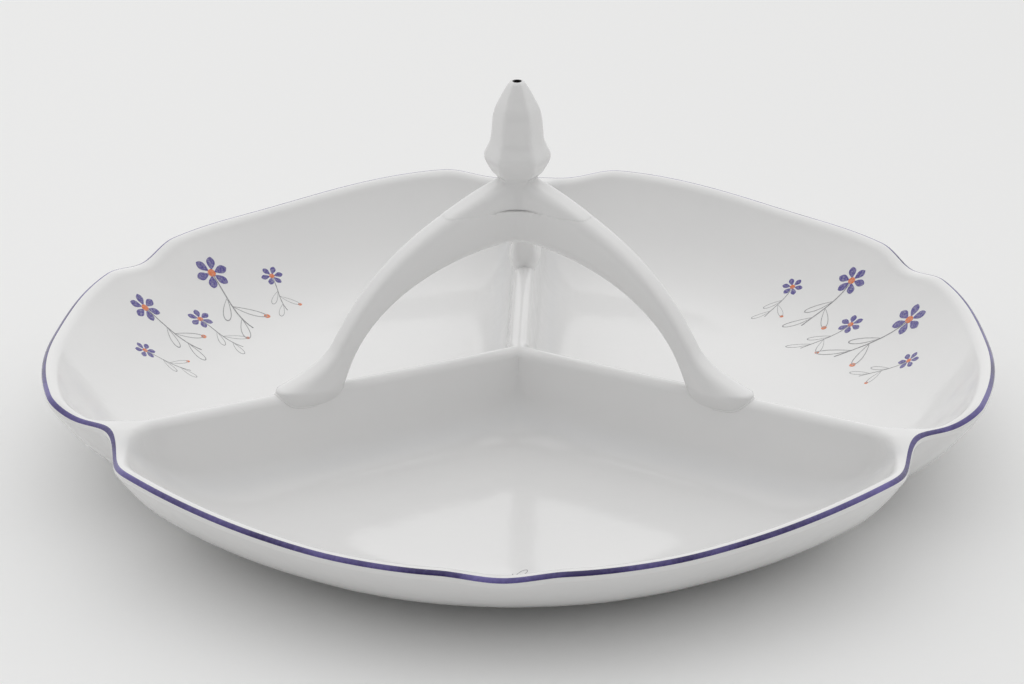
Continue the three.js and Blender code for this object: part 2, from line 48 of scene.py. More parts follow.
# %% [markdown]
# ## Camera
# A long lens from a little above the table shows into all three compartments. The eye, the point it looks at
# and a slight roll give the photograph's view without any lens shift, so the camera can move round the tray.

# %% Camera
EYE = Vector((0.03325, -1.00743, 0.48591))
TARGET = Vector((-0.00202, 0.0, 0.03452))
ROLL = math.radians(-0.328)
LENS, SENSOR_WIDTH = 122.8, 36

scene = bpy.context.scene
scene.view_settings.view_transform = "Standard"
camera = bpy.data.objects.new("camera", bpy.data.cameras.new("camera"))
camera.data.lens = LENS
camera.data.sensor_width = SENSOR_WIDTH
back = (EYE - TARGET).normalized()
right = Vector((0, 0, 1)).cross(back).normalized()
up = back.cross(right)
rolled_right = right * math.cos(ROLL) + up * math.sin(ROLL)
rolled_up = up * math.cos(ROLL) - right * math.sin(ROLL)
turn = Matrix((rolled_right, rolled_up, back)).transposed()
camera.matrix_world = Matrix.Translation(EYE) @ turn.to_4x4()
scene.collection.objects.link(camera)
scene.camera = camera
print("camera at", tuple(round(value, 3) for value in EYE))

# %% [markdown]
# ## Nodes in a script
# Materials, the world and Geometry Nodes are all trees of nodes. Small helpers keep each tree short to read.
# The first adds a node with its settings and its inputs, where an input is a value or another node's output.
# The others start a material and add the few kinds of node that come up again and again.

# %% Node helpers


def add_node(tree, kind, settings=None, **inputs):
    node = tree.nodes.new(kind)
    for name, value in (settings or {}).items():
        setattr(node, name, value)
    for name, value in inputs.items():
        socket = node.inputs[int(name[1:])] if name[1:].isdigit() else node.inputs[name.replace("_", " ")]
        if isinstance(value, bpy.types.NodeSocket):
            tree.links.new(value, socket)
        else:
            socket.default_value = value
    return node


def new_material(name):
    material = bpy.data.materials.new(name)
    material.use_nodes = True
    tree = material.node_tree
    return material, tree, tree.nodes["Principled BSDF"]


def calculated(tree, operation, *values):
    inputs = {f"_{place}": value for place, value in enumerate(values)}
    return add_node(tree, "ShaderNodeMath", {"operation": operation}, **inputs).outputs[0]


def noise(tree, place, scale, detail):
    return add_node(tree, "ShaderNodeTexNoise", Vector=place, Scale=scale, Detail=detail).outputs["Fac"]


def ranged(tree, value, start=0.0, end=1.0, low=0.0, high=1.0):
    limits = {"From_Min": start, "From_Max": end, "To_Min": low, "To_Max": high}
    return add_node(tree, "ShaderNodeMapRange", Value=value, **limits).outputs["Result"]


def colour_mix(tree, share, first, second):
    mix = add_node(tree, "ShaderNodeMix", {"data_type": "RGBA"}, Factor=share, _6=first, _7=second)
    return mix.outputs[2]


def object_place(tree):
    return add_node(tree, "ShaderNodeTexCoord").outputs["Object"]


# %% [markdown]
# ## Floor and light
# The tray stands on a pale seamless sheet under a very wide, soft light. The light comes from above and from
# behind, so walls that face the camera are a little darker, and the sheet throws light back up under the rim.
# No lamp is needed: the world alone is the light, brighter overhead and behind the tray than in front of it.
# Its changes are so slow that the glaze mirrors no hard patch of light. The sheet's colour holds painted
# light:
# it is lighter on the left and darker on the right, as the light falls off across it.

# %% Floor
FLOOR_SIZE = 6.0
# Painted light on the sheet: the left colour is the lit side, the right colour the painted shade.
PAPER_PAINTED_LIGHT = (0.93, 0.93, 0.925, 1)
PAPER_PAINTED_SHADE = (0.86, 0.86, 0.855, 1)
PAINTED_LIGHT_SPREAD = 0.6
PAPER_ROUGHNESS = 0.85
FIBRE_SCALE, FIBRE_DETAIL, FIBRE_SHARE = 420.0, 3.0, 0.15

half = FLOOR_SIZE / 2
floor_mesh = bpy.data.meshes.new("floor")
corners = [(-half, -half, 0), (half, -half, 0), (half, half, 0), (-half, half, 0)]
floor_mesh.from_pydata(corners, [], [(0, 1, 2, 3)])
floor = bpy.data.objects.new("floor", floor_mesh)
scene.collection.objects.link(floor)
paper, paper_tree, paper_shader = new_material("paper")
paper_place = object_place(paper_tree)
fibres = noise(paper_tree, paper_place, FIBRE_SCALE, FIBRE_DETAIL)
sideways = add_node(paper_tree, "ShaderNodeSeparateXYZ", Vector=paper_place).outputs["X"]
# Painted light across the sheet: the colour runs from lighter on the left to darker on the right.
slope = ranged(paper_tree, sideways, -PAINTED_LIGHT_SPREAD, PAINTED_LIGHT_SPREAD)
shade = calculated(paper_tree, "MULTIPLY_ADD", fibres, FIBRE_SHARE, slope)
paper_colour = colour_mix(paper_tree, shade, PAPER_PAINTED_LIGHT, PAPER_PAINTED_SHADE)
paper_tree.links.new(paper_colour, paper_shader.inputs["Base Color"])
paper_shader.inputs["Roughness"].default_value = PAPER_ROUGHNESS
floor_mesh.materials.append(paper)
print("floor", FLOOR_SIZE, "m")

# %% World
SIDE_LIGHT = 0.6
BACK_GAIN = 0.4
TOP_GAIN = 0.45

world = bpy.data.worlds.new("studio")
scene.world = world
world.use_nodes = True
sky = world.node_tree
direction = add_node(sky, "ShaderNodeTexCoord").outputs["Generated"]
gains = (0, BACK_GAIN, TOP_GAIN)
lean = add_node(sky, "ShaderNodeVectorMath", {"operation": "DOT_PRODUCT"}, _0=direction, _1=gains)
level = calculated(sky, "ADD", lean.outputs["Value"], SIDE_LIGHT)
sky.links.new(level, sky.nodes["Background"].inputs["Strength"])
sky.nodes["Background"].inputs["Color"].default_value = (1, 1, 1, 1)
in_front, behind = round(SIDE_LIGHT - BACK_GAIN, 2), SIDE_LIGHT + BACK_GAIN
print("sky", in_front, "in front,", behind, "behind,", SIDE_LIGHT + TOP_GAIN, "overhead")

# %% [markdown]
# ## The glaze
# Porcelain is white all through, and its glaze is a thin coat of glass. It mirrors the light softly, ripples
# a little as if it had run before it set, and gathers where a wall meets a floor, where it looks cooler and
# greyer. The foot ring is wiped clean before firing, so its underside stays dry and rough. The inside of the
# finial is never glazed; it is painted near black, a painted shade for the deep hollow seen through its vent.
# One material does all of this from Object coordinates, with the gathered glaze and the painted shade inside
# read from attributes that the meshes carry.

# %% Glazed porcelain
PORCELAIN = (0.81, 0.806, 0.8, 1)
GATHERED = (0.73, 0.74, 0.75, 1)
DRY_BODY = (0.78, 0.75, 0.69, 1)
DRY_HEIGHT = 0.0004
# Painted shade: the near-black colour of the finial's inside, for the shade in the deep hollow.
PAINTED_BORE_SHADE = (0.02, 0.019, 0.018, 1)
CLOUD_SCALE, CLOUD_DETAIL, CLOUD_START, CLOUD_END, CLOUD_SHARE = 38.0, 4.0, 0.35, 0.75, 0.12
RIPPLE_SCALE, RIPPLE_DETAIL, RIPPLE_STRENGTH, RIPPLE_DEPTH = 95.0, 2.0, 0.06, 0.002
GATHER_SHARE = 0.3
GLOSS_LOW, GLOSS_HIGH, DRY_ROUGHNESS = 0.06, 0.16, 0.6
GLASS_IOR = 1.5

glaze, glaze_tree, glaze_shader = new_material("glazed_porcelain")
place = object_place(glaze_tree)
cloud = noise(glaze_tree, place, CLOUD_SCALE, CLOUD_DETAIL)
ripple = noise(glaze_tree, place, RIPPLE_SCALE, RIPPLE_DETAIL)
gather = add_node(glaze_tree, "ShaderNodeAttribute", {"attribute_name": "gather"}).outputs["Fac"]
cloudy = ranged(glaze_tree, cloud, CLOUD_START, CLOUD_END, high=CLOUD_SHARE)
tint = calculated(glaze_tree, "MULTIPLY_ADD", gather, GATHER_SHARE, cloudy)
white = colour_mix(glaze_tree, tint, PORCELAIN, GATHERED)
height = add_node(glaze_tree, "ShaderNodeSeparateXYZ", Vector=place).outputs["Z"]
dry = calculated(glaze_tree, "LESS_THAN", height, DRY_HEIGHT)
body = colour_mix(glaze_tree, dry, white, DRY_BODY)
# Where the bore rows carry the painted shade, the colour turns near black.
bare = add_node(glaze_tree, "ShaderNodeAttribute", {"attribute_name": "bare"}).outputs["Fac"]
glaze_tree.links.new(colour_mix(glaze_tree, bare, body, PAINTED_BORE_SHADE), glaze_shader.inputs["Base Color"])
gloss = ranged(glaze_tree, ripple, low=GLOSS_LOW, high=GLOSS_HIGH)
rough = calculated(glaze_tree, "MULTIPLY_ADD", dry, DRY_ROUGHNESS, gloss)
glaze_tree.links.new(rough, glaze_shader.inputs["Roughness"])
run = add_node(glaze_tree, "ShaderNodeBump", Height=ripple, Strength=RIPPLE_STRENGTH, Distance=RIPPLE_DEPTH)
glaze_tree.links.new(run.outputs["Normal"], glaze_shader.inputs["Normal"])
glaze_shader.inputs["IOR"].default_value = GLASS_IOR
print("glaze over", PORCELAIN[:3])

# %% [markdown]
# ## The enamel line
# The line is painted by hand over the glaze with a fine brush that follows the lobes. The colour lies dense
# and dark where the brush lingers and thins to a pale lavender where it lifts. Noise stretched over a few
# centimetres gives those slow changes, and finer noise makes the pigment grainy.

# %% Enamel
DENSE = (0.022, 0.012, 0.095, 1)
THIN = (0.15, 0.125, 0.36, 1)
BRUSH_SCALE, GRAIN_SCALE, BRUSH_DETAIL, GRAIN_SHARE = 45.0, 900.0, 2.0, 0.3
DENSE_END, THIN_START = 0.45, 0.9
ENAMEL_GLOSS, ENAMEL_DULL = 0.14, 0.3

enamel, enamel_tree, enamel_shader = new_material("violet_enamel")
brush_place = object_place(enamel_tree)
slow = noise(enamel_tree, brush_place, BRUSH_SCALE, BRUSH_DETAIL)
grain = noise(enamel_tree, brush_place, GRAIN_SCALE, BRUSH_DETAIL)
spread = calculated(enamel_tree, "MULTIPLY_ADD", grain, GRAIN_SHARE, slow)
density = ranged(enamel_tree, spread, DENSE_END, THIN_START)
hue = colour_mix(enamel_tree, density, DENSE, THIN)
enamel_tree.links.new(hue, enamel_shader.inputs["Base Color"])
dulled = ranged(enamel_tree, grain, low=ENAMEL_GLOSS, high=ENAMEL_DULL)
enamel_tree.links.new(dulled, enamel_shader.inputs["Roughness"])
print("enamel from", DENSE[:3], "to", THIN[:3])

# %% [markdown]
# ## Three of everything
# Dish, line, handle, finial and prints all repeat three times round the axis. Only one third of each is
# worked out, and a small Geometry Nodes tree sets turned copies of it round the axis, welds the seams, keeps
# true edges sharp and gives the piece its material. The result is then turned into a plain mesh.

# %% Turned copies
MM = 0.001
COMPARTMENTS = 3
WELD = 2e-6
SOFT_ANGLE = math.radians(50)


def geometry_tree(name, **inputs):
    tree = bpy.data.node_groups.new(name, "GeometryNodeTree")
    for socket, kind in inputs.items():
        tree.interface.new_socket(socket, in_out="INPUT", socket_type=f"NodeSocket{kind}")
    tree.interface.new_socket("Piece", in_out="OUTPUT", socket_type="NodeSocketGeometry")
    return tree, add_node(tree, "NodeGroupInput").outputs


def in_material(tree, geometry, material):
    finished = add_node(tree, "GeometryNodeSetMaterial", Geometry=geometry, Material=material)
    add_node(tree, "NodeGroupOutput", Piece=finished.outputs[0])


def turned_tree():
    kinds = {"Third": "Geometry", "Copies": "Int", "Weld": "Float", "Finish": "Material"}
    tree, given = geometry_tree("turned_copies", **kinds)
    points = add_node(tree, "GeometryNodePoints", Count=given["Copies"])
    index = add_node(tree, "GeometryNodeInputIndex").outputs[0]
    step = calculated(tree, "DIVIDE", math.tau, given["Copies"])
    euler = add_node(tree, "ShaderNodeCombineXYZ", Z=calculated(tree, "MULTIPLY", index, step))
    turned = add_node(tree, "FunctionNodeEulerToRotation", Euler=euler.outputs[0])
    copies = add_node(
        tree,
        "GeometryNodeInstanceOnPoints",
        Points=points.outputs[0],
        Instance=given["Third"],
        Rotation=turned.outputs[0],
    )
    whole = add_node(tree, "GeometryNodeRealizeInstances", Geometry=copies.outputs[0])
    welded = add_node(tree, "GeometryNodeMergeByDistance", Geometry=whole.outputs[0], Distance=given["Weld"])
    smooth = add_node(tree, "GeometryNodeSetShadeSmooth", Geometry=welded.outputs[0])
    bend = add_node(tree, "GeometryNodeInputMeshEdgeAngle").outputs["Unsigned Angle"]
    soft = add_node(tree, "FunctionNodeCompare", {"operation": "LESS_THAN"}, A=bend, B=SOFT_ANGLE).outputs[0]
    creased = add_node(tree, "GeometryNodeSetShadeSmooth", {"domain": "EDGE"}, Shade_Smooth=soft)
    tree.links.new(smooth.outputs[0], creased.inputs[0])
    in_material(tree, creased.outputs[0], given["Finish"])
    return tree


def shaped(mesh, tree, **inputs):
    maker = bpy.data.objects.new(mesh.name, mesh)
    scene.collection.objects.link(maker)
    nodes = maker.modifiers.new(tree.name, "NODES")
    nodes.node_group = tree
    for socket in tree.interface.items_tree:
        if socket.in_out == "INPUT" and socket.name in inputs:
            nodes[socket.identifier] = inputs[socket.name]
    evaluated = maker.evaluated_get(bpy.context.evaluated_depsgraph_get())
    result = bpy.data.meshes.new_from_object(evaluated)
    bpy.data.objects.remove(maker)
    bpy.data.meshes.remove(mesh)
    return result


def grown(name, mesh, tree, **inputs):
    piece = bpy.data.objects.new(name, shaped(mesh, tree, **inputs))
    piece.data.name = name
    scene.collection.objects.link(piece)
    return piece


def plain_mesh(name, points, faces, **marks):
    mesh = bpy.data.meshes.new(name)
    mesh.from_pydata((np.asarray(points) * MM).tolist(), [], faces)
    for mark, values in marks.items():
        layer = mesh.attributes.new(mark, "FLOAT", "POINT")
        layer.data.foreach_set("value", np.asarray(values, float).ravel())
    return mesh


def kept(piece, slot, *nodes):
    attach(piece, "root")
    if nodes:
        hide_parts(*nodes)
    triangles = sum(len(face.vertices) - 2 for face in piece.data.polygons)
    print(piece.name, triangles, "triangles")


TURNED = turned_tree()


def threefold(name, third, finish):
    return grown(name, third, TURNED, Copies=COMPARTMENTS, Weld=WELD, Finish=finish)


# %% [markdown]
# ## The rim
# Each compartment's edge swells into a lobe, dips at its middle and draws in to a notch at each divider. The
# rim is written as radii and heights at a few angles. Between two of them the curve eases with level ends, so
# each station is a crest, a trough or the end of a level stretch, as on a cast rim that has no sharp turns. A
# small inset keeps the smooth rim inside the box of the faceted CAD solid.

# %% Rim curves
HALF_SECTOR = 180 / COMPARTMENTS
RIM_RADIUS = 149.7
RIM_HEIGHT = 32.0
CREST_ANGLE, FLANK_ANGLE, SHOULDER_ANGLE = 7, 27.5, 48
LEVEL_ANGLE, DIP_ANGLE = 17.25, 54
RIM_RADII = np.array(
    [
        (0, RIM_RADIUS + 0.9),
        (CREST_ANGLE, RIM_RADIUS + 2.6),
        (FLANK_ANGLE, RIM_RADIUS),
        (SHOULDER_ANGLE, RIM_RADIUS + 0.7),
        (HALF_SECTOR, RIM_RADIUS - 9.4),
    ]
)
RIM_HEIGHTS = np.array(
    [
        (0, RIM_HEIGHT - 2.6),
        (CREST_ANGLE, RIM_HEIGHT),
        (LEVEL_ANGLE, RIM_HEIGHT),
        (SHOULDER_ANGLE, RIM_HEIGHT + 4.2),
        (DIP_ANGLE, RIM_HEIGHT + 2.6),
        (HALF_SECTOR, RIM_HEIGHT + 4.2),
    ]
)
LINE_BUILD = 0.08
EDGE_RADIUS = 1.82
RIM_INSET = 0.34
SPAN_STEPS = (
    (0, CREST_ANGLE, 14),
    (CREST_ANGLE, FLANK_ANGLE, 18),
    (FLANK_ANGLE, SHOULDER_ANGLE, 18),
    (SHOULDER_ANGLE, HALF_SECTOR, 30),
)


def eased(stations, place):
    place = np.clip(np.abs(place), 0, stations[-1, 0])
    span = np.clip(np.searchsorted(stations[:, 0], place) - 1, 0, len(stations) - 2)
    start, end = stations[span], stations[span + 1]
    share = (place - start[..., 0]) / (end[..., 0] - start[..., 0])
    return start[..., 1] + (end[..., 1] - start[..., 1]) * share**2 * (3 - 2 * share)


def crest_radius(angle):
    return eased(RIM_RADII, angle) - RIM_INSET - EDGE_RADIUS


def crest_height(angle):
    return eased(RIM_HEIGHTS, angle) - LINE_BUILD


half_angles = np.concatenate([np.linspace(a, b, steps, endpoint=False) for a, b, steps in SPAN_STEPS])
half_angles = np.append(half_angles, HALF_SECTOR)
SECTOR_ANGLES = np.concatenate([-half_angles[:0:-1], half_angles])
DIVIDER_LENGTH = float(crest_radius(HALF_SECTOR))
print("rim from", round(DIVIDER_LENGTH), "to", round(float(crest_radius(CREST_ANGLE))), "mm out")

# %% [markdown]
# ## The compartments
# A divider has a round top, a wall with draft and a fillet at the floor. The bowl comes down from a small lip
# in one sweep. Each of the three walls gives a depth at every point, and a power sum of the depths joins
# them, so the valleys come out rounded. Near the rim a level web fills the corner between a divider's crest
# and the rim's, as clay gathers there in the mould.

# %% Height inside a compartment
FLOOR_TOP = 8.0
FLOOR_RADIUS = 97.0
INNER_CURVE = 2.4
LIP_WIDTH = 3.2
LIP_DROP = 1.5
DIVIDER_CENTRE_HEIGHT = 33.0
TOP_RADIUS = 3.2
DRAFT = math.radians(8)
FILLET = 14.0
VALLEY_SHARPNESS = 3
WEB_RADIUS = 14.0
CREST_MARGIN = 1e-9
SIN_HALF = math.sin(math.radians(HALF_SECTOR))
COS_HALF = math.cos(math.radians(HALF_SECTOR))


def divider_top(along):
    share = np.clip(along / DIVIDER_LENGTH, 0, 1)
    return DIVIDER_CENTRE_HEIGHT + (crest_height(HALF_SECTOR) - DIVIDER_CENTRE_HEIGHT) * share


def divider_section(rise):
    wall_start = TOP_RADIUS * math.cos(DRAFT)
    wall_drop = TOP_RADIUS * (1 - math.sin(DRAFT))
    footing = wall_start + (rise - wall_drop) * math.tan(DRAFT)
    end = footing + FILLET * math.tan((math.pi / 2 - DRAFT) / 2)
    return wall_start, wall_drop, end - FILLET * math.cos(DRAFT), end


def divider_drop(distance, rise):
    wall_start, wall_drop, fillet_start, end = divider_section(rise)
    top = TOP_RADIUS - np.sqrt(np.maximum(0, TOP_RADIUS**2 - distance**2))
    wall = wall_drop + (distance - wall_start) / math.tan(DRAFT)
    fillet = rise - FILLET + np.sqrt(np.maximum(0, FILLET**2 - (end - distance) ** 2))
    zones = [distance <= wall_start, distance <= fillet_start, distance < end]
    return np.select(zones, [top, wall, fillet], rise)


def bowl_drop(radius, angle, rise):
    crest = crest_radius(angle)
    inset = np.maximum(0, crest - radius)
    lip = LIP_DROP * (1 - np.cos(inset / LIP_WIDTH * math.pi / 2))
    share = np.clip((radius - FLOOR_RADIUS) / (crest - LIP_WIDTH - FLOOR_RADIUS), 0, 1)
    return np.where(inset < LIP_WIDTH, lip, rise - (rise - LIP_DROP) * share**INNER_CURVE)


def web_distance(distance, inset):
    rounded = WEB_RADIUS - np.hypot(WEB_RADIUS - distance, WEB_RADIUS - inset)
    outside = (distance > WEB_RADIUS) | (inset > WEB_RADIUS)
    return np.where(outside, np.minimum(distance, inset), np.maximum(0, rounded))


def basin_height(out, across):
    angle = np.degrees(np.arctan2(across, out))
    radius = np.hypot(out, across)
    inset = np.maximum(0, crest_radius(angle) - radius)
    rises = [crest_height(angle) - FLOOR_TOP]
    drops = [bowl_drop(radius, angle, rises[0])]
    webbed = [drops[0]]
    for side in (-1, 1):
        distance = np.maximum(0, out * SIN_HALF - side * across * COS_HALF)
        rise = divider_top(out * COS_HALF + side * across * SIN_HALF) - FLOOR_TOP
        rises.append(rise)
        drops.append(divider_drop(distance, rise))
        webbed.append(divider_drop(web_distance(distance, inset), rise))
    rises, drops, webbed = np.array(rises), np.array(drops), np.array(webbed)
    weights = (rises - drops) / (drops + CREST_MARGIN)
    total = weights.sum(axis=0)
    rise = np.where(total > 0, (rises * weights).sum(axis=0) / np.maximum(total, CREST_MARGIN), 0)
    with np.errstate(divide="ignore"):
        powers = ((webbed / rises) ** -VALLEY_SHARPNESS).sum(axis=0) + 1 - len(rises)
    return FLOOR_TOP + rise * (1 - powers ** (-1 / VALLEY_SHARPNESS))


print("compartment floor at", FLOOR_TOP, "mm")

# %% [markdown]
# ## Rings of one compartment
# The mesh of a compartment is a set of nested rings. Each ring runs out beside one divider, along the rim and
# back beside the other divider, and all its points lie at one share of the depth. The rings are close
# together where the section bends, so edges and fillets stay round.

# %% Rings
TOP_STEPS, WALL_STEPS, FILLET_STEPS = 8, 10, 16
DIVIDER_STEPS, WEB_STEPS, WEB_REACH = 30, 26, 1.6
FLOOR_RINGS = 8
BISECTIONS = 40
CENTRE_RISE = DIVIDER_CENTRE_HEIGHT - FLOOR_TOP

web_start = 1 - WEB_REACH * WEB_RADIUS / DIVIDER_LENGTH
before_web = np.linspace(0, web_start, DIVIDER_STEPS, endpoint=False)
DIVIDER_SHARES = np.concatenate([before_web, np.linspace(web_start, 1, WEB_STEPS, endpoint=False)])


def ring_distances():
    wall_start, _, fillet_start, end = divider_section(CENTRE_RISE)
    top = TOP_RADIUS * np.sin(np.linspace(0, math.pi / 2 - DRAFT, TOP_STEPS, endpoint=False))
    wall = np.linspace(wall_start, fillet_start, WALL_STEPS, endpoint=False)
    fillet = end - FILLET * np.cos(np.linspace(DRAFT, math.pi / 2, FILLET_STEPS + 1))
    return np.concatenate([top, wall, fillet])


def rim_inset(depth, angle):
    rise = crest_height(angle) - FLOOR_TOP
    drop = depth * rise
    lip = LIP_WIDTH * np.arccos(1 - np.minimum(drop / LIP_DROP, 1)) * 2 / math.pi
    share = (np.maximum(0, rise - drop) / (rise - LIP_DROP)) ** (1 / INNER_CURVE)
    wall = (crest_radius(angle) - FLOOR_RADIUS) * (1 - share) + LIP_WIDTH * share
    return np.where(drop < LIP_DROP, lip, wall)


def ring_corner(distance, depth):
    inside, outside = 0.0, HALF_SECTOR
    for _ in range(BISECTIONS):
        angle = (inside + outside) / 2
        radius = crest_radius(angle) - rim_inset(depth, angle)
        if radius * math.sin(math.radians(HALF_SECTOR - angle)) > distance:
            inside = angle
        else:
            outside = angle
    return outside


def basin_ring(distance):
    depth = float(divider_drop(distance, CENTRE_RISE)) / CENTRE_RISE
    corner = ring_corner(distance, depth)
    angles = SECTOR_ANGLES * corner / HALF_SECTOR
    radii = crest_radius(angles) - rim_inset(depth, angles)
    rim = np.stack([radii * np.cos(np.radians(angles)), radii * np.sin(np.radians(angles))], axis=1)
    start = np.array([distance / SIN_HALF, 0])
    first = start + (rim[0] - start) * DIVIDER_SHARES[:, None]
    last = start + (rim[-1] - start) * DIVIDER_SHARES[:0:-1, None]
    return np.concatenate([first, rim, last])


plan_rings = [basin_ring(distance) for distance in ring_distances()]
middle = np.array([(FLOOR_RADIUS + DIVIDER_LENGTH / 2) / 2, 0])
floor_edge = plan_rings[-1]
for share in np.arange(1, FLOOR_RINGS) / FLOOR_RINGS:
    plan_rings.append(floor_edge + (middle - floor_edge) * share)
print(len(plan_rings), "rings of", len(floor_edge), "points")

# %% [markdown]
# ## The outside of the dish
# From the rim's crest the surface rolls over the edge, sweeps down the outer wall and reaches the foot ring,
# which has a soft cove on both sides and a narrow flat to stand on. One upright section at each angle holds
# all of that.

# %% Section below the rim
EDGE_WRAP = 40
EDGE_STEPS, OUTER_STEPS, COVE_STEPS, BASE_RINGS = 12, 26, 6, 5
FOOT_RADIUS, FOOT_WIDTH, FOOT_HEIGHT = 81.0, 5.0, 3.2
FOOT_ROUND, FOOT_COVE = 0.8, 3.0
OUTER_CURVE = 3.35


def arc(centre, radii, start, end, steps):
    turns = np.radians(np.linspace(start, end, steps))
    return np.stack([centre[0] + radii[0] * np.cos(turns), centre[1] + radii[1] * np.sin(turns)], axis=1)


def under_profile(angle):
    edge_centre = (crest_radius(angle), crest_height(angle) - EDGE_RADIUS)
    edge = arc(edge_centre, (EDGE_RADIUS, EDGE_RADIUS), 90, -EDGE_WRAP, EDGE_STEPS)
    outer, inner = FOOT_RADIUS + FOOT_WIDTH / 2, FOOT_RADIUS - FOOT_WIDTH / 2
    shares = np.linspace(1, 0, OUTER_STEPS)[1:, None]
    wall_start, wall_end = edge[-1], np.array([outer + FOOT_COVE, FOOT_HEIGHT])
    wall = wall_end + (wall_start - wall_end) * np.hstack([shares, shares**OUTER_CURVE])
    cove = (FOOT_COVE, FOOT_HEIGHT - FOOT_ROUND)
    toe = (FOOT_ROUND, FOOT_ROUND)
    foot = [
        arc((outer + FOOT_COVE, FOOT_ROUND), cove, 90, 180, COVE_STEPS)[1:],
        arc((outer - FOOT_ROUND, FOOT_ROUND), toe, 0, -90, COVE_STEPS)[1:],
        arc((inner + FOOT_ROUND, FOOT_ROUND), toe, -90, -180, COVE_STEPS),
        arc((inner - FOOT_COVE, FOOT_ROUND), cove, 0, 90, COVE_STEPS)[1:],
    ]
    base = np.linspace(1, 0, BASE_RINGS)[1:, None] * np.array([inner - FOOT_COVE, 0])
    base = base + np.array([0, FOOT_HEIGHT])
    return np.concatenate([edge, wall, *foot, base])


profiles = np.array([under_profile(angle) for angle in SECTOR_ANGLES])
print("section of", profiles.shape[1], "points")

# %% [markdown]
# ## The dish
# One third of the dish is a compartment's rings and the sections below its stretch of rim. A compartment's
# own frame runs out through its middle, and the front compartment looks towards -Y. The gathered glaze is
# strongest in the fillet at the foot of a divider, and the attribute fades on both sides of it.

# %% Dish
GATHER_PLACE, GATHER_WIDTH = 8.6, 2.6


def grid_quads(rows, columns, start=0, closed=False):
    spans = columns if closed else columns - 1
    row, column = np.meshgrid(np.arange(rows - 1), np.arange(spans), indexing="ij")
    across = (column + 1) % columns
    here, below = row * columns, (row + 1) * columns
    quad = [here + column, here + across, below + across, below + column]
    return (np.stack(quad, axis=-1).reshape(-1, 4) + start).tolist()


def turned_over(faces):
    return [face[::-1] for face in faces]


def to_front(out, across, z):
    return np.stack([across, -out, z], axis=-1)


def dish_third():
    plan = np.array(plan_rings)
    out, across = plan[..., 0], plan[..., 1]
    basin = to_front(out, across, basin_height(out, across))
    rings, count = plan.shape[:2]
    points = basin.reshape(-1, 3).tolist() + [to_front(middle[0], middle[1], FLOOR_TOP).tolist()]
    last = (rings - 1) * count
    faces = grid_quads(rings, count, closed=True)
    faces += [[last + j, last + (j + 1) % count, rings * count] for j in range(count)]
    nearest = (out * SIN_HALF - np.abs(across) * COS_HALF).ravel()
    gather = np.exp(-(((nearest - GATHER_PLACE) / GATHER_WIDTH) ** 2)).tolist() + [0.0]
    turns = np.radians(SECTOR_ANGLES)[:, None]
    radii, heights = profiles[..., 0], profiles[..., 1]
    under = to_front(radii * np.cos(turns), radii * np.sin(turns), heights).transpose(1, 0, 2)
    rows, columns = under.shape[:2]
    faces += turned_over(grid_quads(rows, columns, start=len(points)))
    points += under.reshape(-1, 3).tolist()
    gather += [0.0] * (rows * columns)
    return plain_mesh("dish_third", points, faces, gather=gather)


dish = threefold("dish", dish_third(), glaze)
kept(dish, "porcelain", "dish")

# %% [markdown]
# ## The line on the rim
# The enamel lies on the outer half of the rolled edge and has almost no thickness. Its section is a sliver:
# the outer arc comes down to the glaze at both ends and the inner arc lies just under it, so no step shows
# where the colour stops.

# %% Rim line
LINE_TOP, LINE_LOW = 78, 22
LINE_STEPS = 9
LINE_SINK, LINE_FULLNESS = 0.05, 4


def line_third():
    share = np.linspace(0, 1, LINE_STEPS)
    turns = np.radians(LINE_TOP + (LINE_LOW - LINE_TOP) * share)
    swell = LINE_BUILD * np.minimum(1, LINE_FULLNESS * np.sqrt(share * (1 - share)))
    reach = np.concatenate([EDGE_RADIUS + swell, np.full(LINE_STEPS, EDGE_RADIUS - LINE_SINK)])
    turns = np.concatenate([turns, turns[::-1]])
    angles = np.radians(SECTOR_ANGLES)[None]
    radii = crest_radius(SECTOR_ANGLES)[None] + (reach * np.cos(turns))[:, None]
    heights = crest_height(SECTOR_ANGLES)[None] - EDGE_RADIUS + (reach * np.sin(turns))[:, None]
    rows = to_front(radii * np.cos(angles), radii * np.sin(angles), heights)
    rows = np.concatenate([rows, rows[:1]])
    faces = turned_over(grid_quads(*rows.shape[:2]))
    return plain_mesh("line_third", rows.reshape(-1, 3), faces)


rim_line = threefold("rim_line", line_third(), enamel)
kept(rim_line, "enamel", "rim_line")

# %% [markdown]
# ## The handle
# The handle is cast as three arms in one piece. The underside of an arm is a quarter of an ellipse. The arm
# thins from the crown to a waist, and its foot spreads along the divider. Near the crown the sections turn
# towards the next arm, so neighbouring arms flow into each other. Each line down an arm stops where it meets
# the divider, so the foot sits astride the ridge with a soft lip.

# %% Arm sections
CROWN_UNDERSIDE, CROWN_THICKNESS, CROWN_HALF_WIDTH = 70.6, 20.5, 5.6
ARCH_HALF_SPAN = 61.8
CROWN_FILLET = 12.0
WAIST_THICKNESS, WAIST_HALF_WIDTH, WAIST_TURN = 6.6, 3.8, math.radians(65)
TAPER_CURVE = 1.4
ARM_SQUARENESS, FOOT_SQUARENESS = 3.4, 2.2
TOE_LENGTH, TOE_EDGE, FLARE_HEIGHT, FLARE_CURVE = 16.0, 0.2, 10.0, 2.5
FOOT_LIP, SADDLE_HALF_WIDTH, LIP_HALF_WIDTH = 5.2, 5.4, 2.9
SEAT_HEIGHT = 82.1
FOOT_TOP = float(divider_top(ARCH_HALF_SPAN + TOE_LENGTH / 2))
FOOT_BOTTOM = FOOT_TOP - FOOT_LIP


def mixed(a, b, share):
    return a + (b - a) * share


def squared(value, squareness):
    return np.sign(value) * np.abs(value) ** (2 / squareness)


